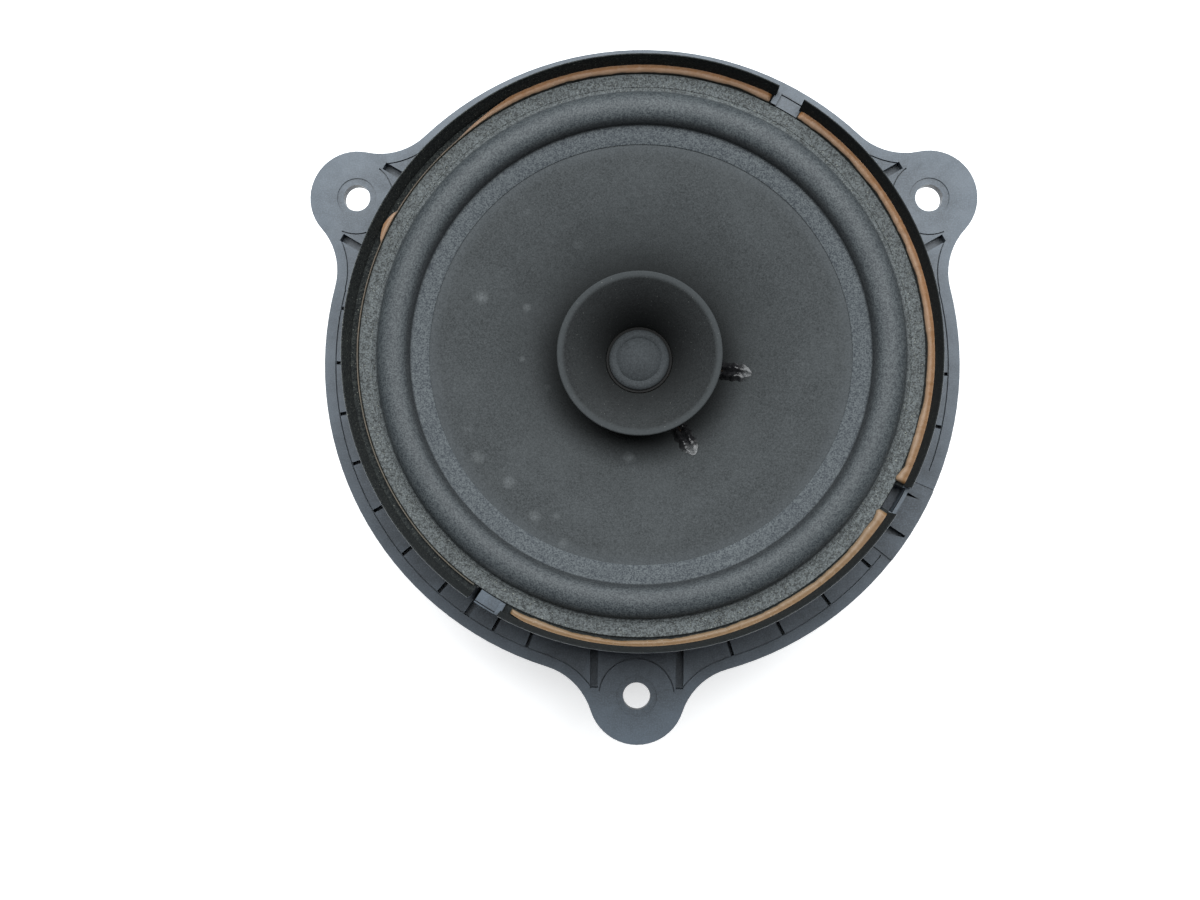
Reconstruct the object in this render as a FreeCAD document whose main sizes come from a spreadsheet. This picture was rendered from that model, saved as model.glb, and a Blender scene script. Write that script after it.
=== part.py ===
import math
import os
import re

import FreeCAD
import Part
import Sketcher

# A 165 mm door speaker with a whizzer cone, in millimetres.
# +Z points out of the front, toward the listener. The origin is on the speaker's axis,
# in the plane of the mounting ears' rear faces. One ear points along -Y.

DIMENSIONS = {
    # flange and ears
    "flange_dia": 165, "flange_thick": 4, "rim_band": 2.8, "gasket_rebate": 0.3, "gasket_band": 6.1,
    "ear_pitch_radius": 86.4, "ear_radius": 12.4, "ear_fillet": 17, "ear_hole_radius": 3.5,
    "boss_radius": 9.7, "line_width": 0.32, "line_depth": 0.9,
    "slot_depth": 3.3, "slot_width": 0.9, "ear_slot_offset": 11, "ear_slot_width": 2,
    # collar that stands in front of the flange
    "collar_top": 32, "collar_inner_radius": 71.9, "collar_lip_radius": 72.75, "collar_base_radius": 75.2,
    "seat_level": 24.3, "seat_inner_radius": 65.7, "shelf_level": 25.2, "shelf_line_radius": 72.95,
    # rear frame
    "frame_wall": 2.4, "window_inner_radius": 42, "window_outer_radius": 66, "window_angle": 43,
    "rib_width": 2.2, "ledge_level": -8, "ledge_inner_radius": 27.5, "spider_radius": 32, "spider_cloth": 0.5,
    "motor_level": -22, "motor_radius": 38.5, "motor_opening": 12,
    # surround and cones
    "cloth": 0.7, "surround_radius": 69.8, "roll_middle": 61.1, "roll_radius": 4.1, "bead_radius": 0.7,
    "cone_radius": 52.2, "cone_lip_radius": 56.4, "paper": 0.6, "neck_level": 3.4, "neck_radius": 8.45,
    "whizzer_radius": 20.45, "whizzer_level": 25.4, "whizzer_paper": 0.45,
    "cap_radius": 7.85, "dome_radius": 11.8,
    # motor
    "former_radius": 8.3, "former_wall": 0.3, "former_bottom": -29, "former_top": 9,
    "coil_radius": 8.75, "coil_length": 10, "gap_radius": 9.2, "pole_radius": 7.6,
    "plate_thick": 4, "plate_radius": 38, "magnet_radius": 30.5, "magnet_hole_radius": 14,
    "magnet_thick": 12, "back_thick": 5, "back_radius": 29.5, "vent_radius": 2.5,
    "screw_pitch_radius": 34.8, "screw_radius": 1.85,
    # terminals and leads
    "terminal_angle": 330, "terminal_level": -6.3, "socket_start": 48, "socket_end": 63.5,
    "socket_half_width": 8.5, "peg_radius": 1.5, "peg_pitch_radius": 56,
    "blade_start": 44.4, "blade_length": 15.6, "blade_width": 4.8, "blade_thick": 0.8, "blade_offset": 4,
    "lead_radius": 0.55, "coil_wire_radius": 0.22,
}

# Angles in degrees. A slot run is its first angle, the pitch and how many slots.
EAR_ANGLES = (30, 150, 270)
SLOT_RUNS = ((68, 10, 6), (170, 10, 1), (180.5, 9.8, 6), (242, 7, 2), (288, 10.2, 4), (348, 10, 2))
GAP_ANGLES = (59.45, 239.1)
GAP_HALF_ANGLE = 2.25
GAP_STEP_ANGLE = 0.9
NOTCH = (327.5, 333.4)
CLIP_PLATFORM = (322, 336.2)
LEAD_ANGLES = (351, 299.5)

document = FreeCAD.newDocument("door_speaker")
sheet = document.addObject("Spreadsheet::Sheet", "dims")
for row, (alias, size) in enumerate(DIMENSIONS.items(), start=1):
    sheet.set(f"A{row}", alias)
    sheet.set(f"B{row}", str(size))
    sheet.setAlias(f"B{row}", alias)
document.recompute()

nodes = []


# ---------------------------------------------------------------- helpers


def bound(expression):
    """The expression with each alias written as a cell of the sheet."""
    return re.sub(r"[a-z][a-z_]+", lambda word: "dims." + word[0] if word[0] in DIMENSIONS else word[0],
                  str(expression))


def number(expression):
    """The value of an expression that is written in the sheet's aliases."""
    return float(sheet.evalExpression(str(expression)))


def polar(radius, angle, across=0):
    """A point at a radius along a direction, moved across it; all are expressions."""
    x = f"({radius}) * cos({angle}) - ({across}) * sin({angle})"
    y = f"({radius}) * sin({angle}) + ({across}) * cos({angle})"
    return x, y


def new_body(label):
    body = document.addObject("PartDesign::Body", label)
    body.Label = label
    nodes.append(body)
    return body


def origin_feature(body, role):
    return next(feature for feature in body.Origin.OriginFeatures if feature.Role == role)


def new_sketch(body, name, role="XY_Plane", level="0"):
    sketch = body.newObject("Sketcher::SketchObject", name)
    sketch.AttachmentSupport = (origin_feature(body, role), [""])
    sketch.MapMode = "FlatFace"
    sketch.AttachmentOffset = FreeCAD.Placement(FreeCAD.Vector(0, 0, number(level)), FreeCAD.Rotation())
    sketch.setExpression("AttachmentOffset.Base.z", bound(level))
    return sketch


def pin_point(sketch, geometry, end, point):
    """Fix one point of a sketch at two expressions, measured from the sketch's origin."""
    for kind, expression in zip(("DistanceX", "DistanceY"), point):
        constraint = Sketcher.Constraint(kind, -1, 1, geometry, end, number(expression))
        index = sketch.addConstraint(constraint)
        sketch.setExpression(f"Constraints[{index}]", bound(expression))


def as_vector(point):
    return FreeCAD.Vector(number(point[0]), number(point[1]), 0)


def outline(sketch, start, *steps):
    """Draw a closed outline. A step of one point is a line to it; of two, an arc by way of the first."""
    edges = []
    here = start
    last_point = steps[-1][1] if isinstance(steps[-1][0], tuple) else steps[-1]
    closing = () if last_point == start else (start,)
    for step in steps + closing:
        is_arc = isinstance(step[0], tuple)
        there = step[1] if is_arc else step
        if is_arc:
            curve = Part.Arc(as_vector(here), as_vector(step[0]), as_vector(there))
            flipped = curve.toShape().Vertexes[0].Point.distanceToPoint(as_vector(here)) > 1e-6
            to_middle, to_end = as_vector(step[0]) - as_vector(here), as_vector(there) - as_vector(here)
            clockwise = to_middle.cross(to_end).z < 0
            edge = sketch.addGeometry(curve, False)
            first, last = (2, 1) if clockwise or flipped else (1, 2)
        else:
            edge = sketch.addGeometry(Part.LineSegment(as_vector(here), as_vector(there)), False)
            first, last = 1, 2
        pin_point(sketch, edge, first, here)
        if is_arc:
            middle = sketch.addGeometry(Part.Point(as_vector(step[0])), True)
            pin_point(sketch, middle, 1, step[0])
            sketch.addConstraint(Sketcher.Constraint("PointOnObject", middle, 1, edge))
        edges.append((edge, first, last))
        here = there
    for (edge, _, last), (following, first, _) in zip(edges, edges[1:] + edges[:1]):
        sketch.addConstraint(Sketcher.Constraint("Coincident", edge, last, following, first))


def circle(sketch, radius, centre=("0", "0")):
    edge = sketch.addGeometry(Part.Circle(as_vector(centre), FreeCAD.Vector(0, 0, 1), number(radius)), False)
    pin_point(sketch, edge, 3, centre)
    index = sketch.addConstraint(Sketcher.Constraint("Radius", edge, number(radius)))
    sketch.setExpression(f"Constraints[{index}]", bound(radius))


def sector(sketch, inner, outer, start, end):
    """Part of a ring between two radii and two angles; the angles are numbers."""
    middle = (start + end) / 2
    outline(sketch, polar(inner, start), polar(outer, start), (polar(outer, middle), polar(outer, end)),
            polar(inner, end), (polar(inner, middle), polar(inner, start)))


def bar(sketch, start, end, half_width, angle, across=0):
    """A straight bar along a direction, from a radius to a radius."""
    corners = ((start, -1), (end, -1), (end, 1), (start, 1))
    points = [polar(radius, angle, f"({across}) + {side} * ({half_width})") for radius, side in corners]
    outline(sketch, *points)


def revolve(body, name, start, *steps):
    sketch = new_sketch(body, name + "_profile", "XZ_Plane")
    outline(sketch, start, *steps)
    turned = body.newObject("PartDesign::Revolution", name)
    turned.Profile = sketch
    turned.ReferenceAxis = (sketch, ["V_Axis"])
    turned.Angle = 360
    document.recompute()


def extrude(kind, body, name, level, length, draw, upward):
    """A Pad or a Pocket from a level; draw fills the sketch."""
    sketch = new_sketch(body, name + "_outline", "XY_Plane", level)
    draw(sketch)
    before = body.Shape.Volume if body.Tip else 0
    feature = body.newObject(f"PartDesign::{kind}", name)
    feature.Profile = sketch
    feature.setExpression("Length", bound(length))
    feature.Reversed = upward == (kind == "Pocket")
    document.recompute()
    if abs(body.Shape.Volume - before) < 1e-4:
        raise RuntimeError(f"{name} changes nothing")
    return feature


def pad(body, name, level, length, draw):
    return extrude("Pad", body, name, level, length, draw, True)


def pocket(body, name, level, length, draw):
    """Cut downward from a level."""
    return extrude("Pocket", body, name, level, length, draw, False)


def repeat(body, feature, count, angle=360):
    """Copy a feature about the axis and make the copies the body's tip."""
    if count < 2:
        return
    pattern = body.newObject("PartDesign::PolarPattern", feature.Name + "_pattern")
    pattern.Originals = [feature]
    pattern.Axis = (origin_feature(body, "Z_Axis"), [""])
    pattern.Angle = angle
    pattern.Occurrences = count
    body.Tip = pattern
    document.recompute()


def group(label, shapes):
    """Several like pieces that share a node."""
    feature = document.addObject("Part::Feature", label)
    feature.Label = label
    feature.Shape = Part.makeCompound(shapes)
    nodes.append(feature)


def fuse(label, tools):
    union = document.addObject("Part::MultiFuse", label)
    union.Label = label
    union.Shapes = tools
    nodes.append(union)
    document.recompute()


def vector_at(radius, angle, height):
    turn = math.radians(angle)
    return FreeCAD.Vector(radius * math.cos(turn), radius * math.sin(turn), height)


# ---------------------------------------------------------------- basket


def between(first, second, share):
    """A point part of the way from one point to another, all as expressions."""
    return tuple(f"({start}) + ({share}) * (({end}) - ({start}))" for start, end in zip(first, second))


def ear_outline(sketch, ear):
    """One ear's round end, with a fillet on each side that runs into the round flange."""
    tip = polar("ear_pitch_radius", ear)
    fillets = []
    for side in (-1, 1):
        angle = fillet_angle(ear, side)
        pivot = polar("flange_dia / 2 + ear_fillet", angle)
        on_flange = polar("flange_dia / 2", angle)
        on_ear = between(pivot, tip, "ear_fillet / (ear_fillet + ear_radius)")
        chord = between(on_flange, on_ear, 0.5)
        reach = math.dist([number(value) for value in pivot], [number(value) for value in chord])
        fillets.append((on_flange, between(pivot, chord, f"ear_fillet / {reach}"), on_ear))
    (right_flange, right_middle, right_ear), (left_flange, left_middle, left_ear) = fillets
    outline(sketch, right_flange, (right_middle, right_ear),
            (polar("ear_pitch_radius + ear_radius", ear), left_ear), (left_middle, left_flange),
            polar("flange_dia / 2 - 8", ear + 10), polar("flange_dia / 2 - 8", ear - 10))


def flange_with_ears(basket):
    """A flat ring with three ears, and a shallow rebate for the gasket in its rear face."""
    pad(basket, "flange_disc", "0", "flange_thick", lambda sketch: circle(sketch, "flange_dia / 2"))
    lobe = pad(basket, "ear", "0", "flange_thick", lambda sketch: ear_outline(sketch, EAR_ANGLES[0]))
    repeat(basket, lobe, 3)
    pocket(basket, "throat", "flange_thick", "flange_thick + 1",
           lambda sketch: circle(sketch, "collar_inner_radius"))

    def rebate(sketch):
        circle(sketch, "collar_base_radius + gasket_band + 0.2")
        circle(sketch, "collar_base_radius")

    pocket(basket, "rebate", "gasket_rebate", "gasket_rebate + 1", rebate)


def basket_shell(basket):
    """The turned skin: collar, seat for the surround, rear dish, spider ledge and motor seat."""
    seat_below = "seat_level - 2"
    revolve(
        basket, "shell",
        ("collar_base_radius", "0"),
        ("collar_base_radius", "flange_thick"),
        ("collar_lip_radius + 0.35", "collar_top - 0.3"),
        ("collar_lip_radius + 0.25", "collar_top"),
        ("collar_lip_radius", "collar_top"),
        ("collar_inner_radius", "seat_level + 1.2"),
        ("collar_inner_radius", "seat_level"),
        ("seat_inner_radius", "seat_level"),
        ("seat_inner_radius", seat_below),
        ("collar_inner_radius - 1.2", seat_below),
        ("collar_inner_radius - 0.8", "2"),
        ("spider_radius + 3.4", "ledge_level + 1.8"),
        ("spider_radius + 0.6", "ledge_level + 1.8"),
        ("spider_radius + 0.6", "ledge_level"),
        ("ledge_inner_radius", "ledge_level"),
        ("ledge_inner_radius", "ledge_level - 2"),
        ("spider_radius - 1", "ledge_level - 2"),
        ("motor_radius - 3", "motor_level + 4"),
        ("motor_radius - 3", "motor_level + 2.5"),
        ("motor_opening", "motor_level + 2.5"),
        ("motor_opening", "motor_level"),
        ("motor_radius", "motor_level"),
        ("motor_radius", "motor_level + 4"),
        ("spider_radius + 2", "ledge_level - 1"),
        ("collar_inner_radius - 0.5", "2 - frame_wall"),
    )


def ear_details(basket):
    """Screw holes, shallow washer recesses, deep slots beside each ear and the lines around the boss."""
    ear = EAR_ANGLES[0]
    centre = polar("ear_pitch_radius", ear)

    def slots(sketch):
        for side in (-1, 1):
            bar(sketch, "collar_base_radius - 1.2", "ear_pitch_radius - 2", "ear_slot_width / 2", ear,
                f"{side} * ear_slot_offset")

    def lines(sketch):
        fillet_line(sketch, ear, -1)
        fillet_line(sketch, ear, 1)
        shifted_sector(sketch, centre, "boss_radius", ear + 97, ear + 263)

    cuts = (
        ("ear_hole", "flange_thick + 1", lambda sketch: circle(sketch, "ear_hole_radius", centre)),
        ("washer_recess", "0.35", lambda sketch: circle(sketch, "ear_hole_radius + 1.7", centre)),
        ("ear_slots", "slot_depth", slots),
        ("ear_lines", "line_depth", lines),
    )
    for name, depth, draw in cuts:
        repeat(basket, pocket(basket, name, "flange_thick", depth, draw), 3)


def shifted_sector(sketch, centre, radius, start, end):
    """A thin curved line about a centre of its own."""
    def at(offset, angle):
        x, y = polar(f"{radius} + {offset} * line_width / 2", angle)
        return f"({centre[0]}) + {x}", f"({centre[1]}) + {y}"

    middle = (start + end) / 2
    outline(sketch, at(-1, start), at(1, start), (at(1, middle), at(1, end)),
            at(-1, end), (at(-1, middle), at(-1, start)))


def fillet_angle(ear, side):
    """Direction of the centre of the fillet between the flange and one side of an ear."""
    pitch = number("ear_pitch_radius")
    reach = number("flange_dia / 2 + ear_fillet")
    span = number("ear_radius + ear_fillet")
    swing = math.degrees(math.acos((reach**2 + pitch**2 - span**2) / (2 * reach * pitch)))
    return ear + side * swing


def fillet_line(sketch, ear, side):
    """The rim line's bend beside an ear, from the round flange to the ear's slot."""
    angle = fillet_angle(ear, side)
    reach = number("flange_dia / 2 + ear_fillet")
    pivot = vector_at(reach, angle, 0)
    slot_end = vector_at(number("ear_pitch_radius - 2.2"), ear, 0)
    slot_end += vector_at(side * number("ear_slot_offset + 0.6"), ear + 90, 0)
    facing = math.degrees(math.atan2(slot_end.y - pivot.y, slot_end.x - pivot.x))
    inward = angle + 180
    turn = (facing - inward + 180) % 360 - 180
    start, end = sorted((inward, inward + turn))
    shifted_sector(sketch, polar(reach, angle), "ear_fillet + rim_band", start, end)


def rim_details(basket):
    """The line that bounds the pads, and the narrow slots between them."""
    bend = fillet_angle(0, 1)
    spans = [(EAR_ANGLES[0] + bend, EAR_ANGLES[1] - bend), (EAR_ANGLES[1] + bend, EAR_ANGLES[2] - bend),
             (EAR_ANGLES[2] + bend, 321.5), (339.6, 360 + EAR_ANGLES[0] - bend)]

    def lines(sketch):
        for start, end in spans:
            sector(sketch, "flange_dia / 2 - rim_band - line_width", "flange_dia / 2 - rim_band", start, end)

    def slots(sketch):
        for start, pitch, count in SLOT_RUNS:
            for index in range(count):
                bar(sketch, "collar_base_radius - 0.6", "flange_dia / 2 - rim_band - line_width / 2",
                    "slot_width / 2", start + index * pitch)

    pocket(basket, "rim_lines", "flange_thick", "line_depth", lines)
    pocket(basket, "pad_slots", "flange_thick", "slot_depth", slots)


def collar_gaps(basket):
    """Two gaps in the collar, each with a flat shelf beside the surround; one of them ends at a slit."""
    inner = "surround_radius + 0.15"
    for index, angle in enumerate(GAP_ANGLES):
        start, end = angle - GAP_HALF_ANGLE, angle + GAP_HALF_ANGLE
        step_end = end + GAP_STEP_ANGLE
        pocket(basket, f"gap_{index}", "collar_top + 1", "collar_top + 1 - shelf_level",
               lambda sketch: sector(sketch, inner, "collar_base_radius + 0.5", start, step_end))
        pad(basket, f"shelf_{index}", "seat_level - 1", "shelf_level - seat_level + 1",
            lambda sketch: sector(sketch, inner, "collar_inner_radius + 0.6", start - 0.3, step_end + 0.3))
        pad(basket, f"step_{index}", "seat_level - 1", "shelf_level - seat_level + 1.8",
            lambda sketch: sector(sketch, inner, "shelf_line_radius + 0.5", end, step_end + 0.3))
        pocket(basket, f"shelf_line_{index}", "shelf_level", "1.2",
               lambda sketch: sector(sketch, "shelf_line_radius", "shelf_line_radius + 0.3", start, end))
    slit_angle = GAP_ANGLES[1] - GAP_HALF_ANGLE - 0.6

    def slit(sketch):
        bar(sketch, "surround_radius + 0.1", "flange_dia / 2 - rim_band", "0.8", slit_angle)

    pocket(basket, "slit", "collar_top + 1", "collar_top - flange_thick + slot_depth", slit)


def clip_region(basket):
    """The notch in the collar over the terminals, and the plain stepped platform outside it."""
    wall = "collar_base_radius - 0.3"
    edge = "flange_dia / 2 - 0.9"
    window_start = NOTCH[0] - 2.9
    pad(basket, "clip_platform", "flange_thick - 0.5", "1",
        lambda sketch: sector(sketch, "collar_base_radius - 0.4", "flange_dia / 2", *CLIP_PLATFORM))
    pad(basket, "clip_tab", "flange_thick - 0.5", "0.8",
        lambda sketch: sector(sketch, "collar_base_radius + 1", "flange_dia / 2 - 0.1",
                              CLIP_PLATFORM[1] + 0.5, CLIP_PLATFORM[1] + 1.8))
    pocket(basket, "notch", "collar_top + 1", "collar_top + 1 - shelf_level",
           lambda sketch: sector(sketch, "surround_radius + 0.2", "collar_base_radius + 0.2", *NOTCH))
    pocket(basket, "notch_hole", "shelf_level + 1", "8",
           lambda sketch: sector(sketch, "surround_radius + 0.2", "shelf_line_radius - 0.2",
                                 NOTCH[0] + 0.3, NOTCH[1] - 0.3))
    pocket(basket, "clip_window", "flange_thick + 1", "slot_depth + 0.6",
           lambda sketch: outline(sketch, polar(wall, NOTCH[0] - 0.5), polar(wall, window_start),
                                  polar("collar_base_radius + 2", window_start + 0.8),
                                  polar(edge, window_start + 2), polar(edge, NOTCH[0] - 0.5)))
    pocket(basket, "clip_slit", "flange_thick + 1", "slot_depth + 0.6",
           lambda sketch: outline(sketch, polar(wall, NOTCH[1] + 1), polar(wall, NOTCH[1]),
                                  polar("flange_dia / 2 - 2.4", NOTCH[1] + 0.6)))


def rear_frame_details(basket):
    """Six windows in the dish, and a rib under each spoke between them."""
    half = number("window_angle / 2")
    window = pocket(basket, "window", "seat_level - 3", "seat_level - ledge_level",
                    lambda sketch: sector(sketch, "window_inner_radius", "window_outer_radius", -half, half))
    repeat(basket, window, 6)
    sketch = new_sketch(basket, "rib_profile", "XZ_Plane")
    toward_spoke = FreeCAD.Rotation(FreeCAD.Vector(0, 1, 0), 30)
    sketch.AttachmentOffset = FreeCAD.Placement(FreeCAD.Vector(), toward_spoke)
    outline(sketch, ("motor_radius - 0.5", "motor_level"), ("motor_radius + 3", "motor_level"),
            (("collar_inner_radius - 14", "ledge_level - 4"), ("collar_inner_radius - 1", "0.2")),
            ("spider_radius + 2.4", "ledge_level + 0.4"))
    rib = basket.newObject("PartDesign::Pad", "rib")
    rib.Profile = sketch
    rib.setExpression("Length", bound("rib_width"))
    rib.Midplane = True
    document.recompute()
    repeat(basket, rib, 6)


def motor_seat_details(basket):
    """Four bosses with bores that take the motor's screws."""
    boss = pad(basket, "screw_boss", "motor_level + 2", "5",
               lambda sketch: circle(sketch, "3.6", polar("screw_pitch_radius", 45)))
    repeat(basket, boss, 4)
    bore = pocket(basket, "screw_bore", "motor_level + 6", "6.1",
                  lambda sketch: circle(sketch, "screw_radius + 0.05", polar("screw_pitch_radius", 45)))
    repeat(basket, bore, 4)


def terminal_seat(basket):
    """A flat pad under the dish for the terminals, with a hole for their peg and no rib below it."""
    angle = "terminal_angle"

    def clearance(sketch):
        bar(sketch, "socket_start - 0.5", "socket_end + 11.5", "socket_half_width + 0.7", angle)

    pocket(basket, "terminal_clearance", "terminal_level", "18", clearance)
    pad(basket, "terminal_pad", "terminal_level", "3.4",
        lambda sketch: bar(sketch, "socket_start - 0.4", "socket_end + 0.5", "socket_half_width", angle))
    pocket(basket, "peg_hole", "terminal_level + 2.4", "2.5",
           lambda sketch: circle(sketch, "peg_radius + 0.1", polar("peg_pitch_radius", angle)))


# ---------------------------------------------------------------- diaphragm and suspension


def surround_profile():
    """A half roll between two flat bands."""
    outer, inner = "roll_middle + roll_radius", "roll_middle - roll_radius"
    body = new_body("surround")
    top = "seat_level + cloth"
    revolve(
        body, "half_roll",
        ("surround_radius", "seat_level"),
        ("surround_radius", top),
        (outer, top),
        (("roll_middle", f"{top} + roll_radius"), (inner, top)),
        ("cone_radius", top),
        ("cone_radius", "seat_level"),
        (f"{inner} + cloth", "seat_level"),
        (f"{inner} + cloth", top),
        (("roll_middle", f"{top} + roll_radius - cloth"), (f"{outer} - cloth", top)),
        (f"{outer} - cloth", "seat_level"),
    )


def glue_bead():
    """The adhesive along the surround's edge, broken by the two gaps and the notch."""
    segments = ((246.8, 327.1), (333.8, 416.6), (423.3, 485), (511, 517))
    pieces = []
    for index, (start, end) in enumerate(segments):
        bead = document.addObject("Part::Torus", f"bead_{index}")
        bead.setExpression("Radius1", bound("surround_radius + bead_radius + 0.05"))
        bead.setExpression("Radius2", bound("bead_radius"))
        bead.Angle3 = end - start
        bead.Placement = FreeCAD.Placement(FreeCAD.Vector(0, 0, number("seat_level + bead_radius + 0.01")),
                                           FreeCAD.Rotation(FreeCAD.Vector(0, 0, 1), start))
        pieces.append(bead)
    fuse("surround_glue_bead", pieces)


def cone():
    """A paper cone with a curved wall, a flat lip under the surround and a short neck on the former."""
    under = "seat_level - paper"
    body = new_body("cone")
    revolve(
        body, "paper_wall",
        ("neck_radius", "neck_level"),
        (("neck_radius + 17", "neck_level + 12.6"), ("cone_radius - 1", under)),
        ("cone_lip_radius", under),
        ("cone_lip_radius", "seat_level"),
        ("cone_radius - 1.2", "seat_level"),
        (("neck_radius + 16.6", "neck_level + 13.2"), ("neck_radius", "neck_level + 0.9")),
    )


def whizzer_cone():
    """The small flared horn in the middle, with a flat rolled rim."""
    body = new_body("whizzer_cone")
    rim, level = "whizzer_radius", "whizzer_level"
    revolve(
        body, "flare",
        ("neck_radius", "neck_level + 2.2"),
        ("neck_radius + 1.2", "neck_level + 2.2"),
        ("neck_radius + 1.2", "neck_level + 2.7"),
        ("neck_radius + whizzer_paper", "neck_level + 2.7"),
        ("neck_radius + whizzer_paper", "neck_level + 4"),
        (("neck_radius + 3.7", "neck_level + 12.4"), (f"{rim} - 1.5", f"{level} - whizzer_paper")),
        (f"{rim} - 0.3", f"{level} - whizzer_paper"),
        ((f"{rim}", f"{level} - 0.15"), (f"{rim} - 0.3", level)),
        (f"{rim} - 1.7", level),
        (("neck_radius + 3.2", "neck_level + 12.6"), ("neck_radius", "neck_level + 4.3")),
    )


def dust_cap():
    """A pressed cap: a raised outer ring with a low spherical dome inside it."""
    body = new_body("dust_cap")
    edge, floor, skin = "cap_radius", "former_top", "whizzer_paper"
    apex = f"{floor} + 1.9"

    def dome(radius, inset):
        curve = f"(dome_radius - {inset})"
        return radius, f"{apex} - dome_radius + sqrt({curve}^2 - ({radius})^2)"

    revolve(
        body, "pressing",
        (edge, f"{floor} - 1.6"),
        (edge, floor),
        ((f"{edge} - 0.9", f"{floor} + 0.75"), dome(f"{edge} - 2", 0)),
        (dome("3", 0), ("0", apex)),
        ("0", f"{apex} - {skin}"),
        (dome("3", skin), dome(f"{edge} - 2.1", skin)),
        ((f"{edge} - 1.1", f"{floor} + 0.3"), (f"{edge} - {skin}", f"{floor} - 0.1")),
        (f"{edge} - {skin}", f"{floor} - 1.6"),
    )


def neck_glue():
    """A fillet of adhesive round the whizzer's foot, on the cone's paper."""
    foot, wall = "neck_radius + 1.22", "neck_radius + whizzer_paper + 0.05"
    body = new_body("neck_glue_ring")
    revolve(
        body, "fillet_of_glue",
        (foot, "neck_level + 2.2"),
        ("neck_radius + 2.85", "neck_level + 3.65"),
        ("neck_radius + 2.3", "neck_level + 3.85"),
        (("neck_radius + 1.2", "neck_level + 3.55"), (wall, "neck_level + 3.95")),
        (wall, "neck_level + 2.72"),
        (foot, "neck_level + 2.72"),
    )


def voice_coil():
    """A paper tube with one layer of windings at its lower end."""
    former = new_body("coil_former")
    pad(former, "tube", "former_bottom", "former_top - former_bottom - 0.4", former_rings)
    winding = new_body("voice_coil")
    pad(winding, "turns", "motor_level - plate_thick / 2 - coil_length / 2", "coil_length", coil_rings)


def former_rings(sketch):
    circle(sketch, "former_radius")
    circle(sketch, "former_radius - former_wall")


def coil_rings(sketch):
    circle(sketch, "coil_radius")
    circle(sketch, "former_radius + 0.01")


def spider():
    """A corrugated disc of treated cloth from the former to the frame's ledge."""
    waves, height = 8, 0.55
    start, end = number("neck_radius") + 3, number("ledge_inner_radius") - 0.5
    step = (end - start) / waves
    low, high = "ledge_level", "ledge_level + spider_cloth"
    upper, lower = [], []
    for index in range(waves):
        rise = height if index % 2 == 0 else -height
        near, middle, far = (start + (index + part) * step for part in (0, 0.5, 1))
        upper.append(((f"{middle}", f"{high} + {rise}"), (f"{far}", high)))
        lower.append(((f"{middle}", f"{low} + {rise}"), (f"{near}", low)))
    inside, outside, lip = "former_radius + 0.02", "former_radius + 0.5", f"{high} + 1.8"
    body = new_body("spider")
    revolve(
        body, "corrugations",
        (inside, low), (inside, lip), (outside, lip), (outside, high), (f"{start}", high),
        *upper,
        ("spider_radius", high), ("spider_radius", low), (f"{end}", low),
        *reversed(lower),
    )


def spider_glue():
    """A flat bead over the spider's outer edge."""
    ring("spider_glue_ring", "ledge_level + spider_cloth + 0.02", "0.5", "spider_radius + 0.3",
         "spider_radius - 2.2")


# ---------------------------------------------------------------- motor


def ring(label, level, thick, outer, inner):
    """A node that is one flat ring."""
    body = new_body(label)

    def draw(sketch):
        circle(sketch, outer)
        circle(sketch, inner)

    pad(body, f"{label}_ring", level, thick, draw)
    return body


def chamfer_rims(body, size):
    """Break the round outer edges of a turned plate."""
    rims = []
    widest = body.Shape.BoundBox.XMax
    for index, edge in enumerate(body.Shape.Edges, start=1):
        if abs(edge.BoundBox.XMax - widest) < 0.01 and edge.BoundBox.ZLength < 0.01:
            rims.append(f"Edge{index}")
    plain = body.Tip
    chamfer = body.newObject("PartDesign::Chamfer", f"{body.Label}_chamfer")
    chamfer.Base = (plain, rims)
    chamfer.Size = size
    document.recompute()


def motor():
    """Top plate, ferrite ring, back plate and vented pole piece."""
    plate_under = "motor_level - plate_thick"
    magnet_under = f"{plate_under} - magnet_thick"
    foot = f"{magnet_under} - back_thick"
    plate = ring("top_plate", plate_under, "plate_thick", "plate_radius", "gap_radius")
    holes = pocket(plate, "plate_hole", "motor_level", "plate_thick + 1",
                   lambda sketch: circle(sketch, "screw_radius + 0.25", polar("screw_pitch_radius", 45)))
    repeat(plate, holes, 4)
    magnet = ring("magnet", magnet_under, "magnet_thick", "magnet_radius", "magnet_hole_radius")
    chamfer_rims(magnet, 0.8)
    back = ring("back_plate", foot, "back_thick", "back_radius", "pole_radius - 1")
    chamfer_rims(back, 1)
    pole = new_body("pole_piece")
    revolve(
        pole, "pole",
        ("vent_radius", foot), ("pole_radius - 1", foot),
        ("pole_radius - 1", magnet_under), ("pole_radius", magnet_under),
        ("pole_radius", "motor_level - 0.6"), ("pole_radius - 0.8", "motor_level + 0.4"),
        ("vent_radius", "motor_level + 0.4"),
    )


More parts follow.
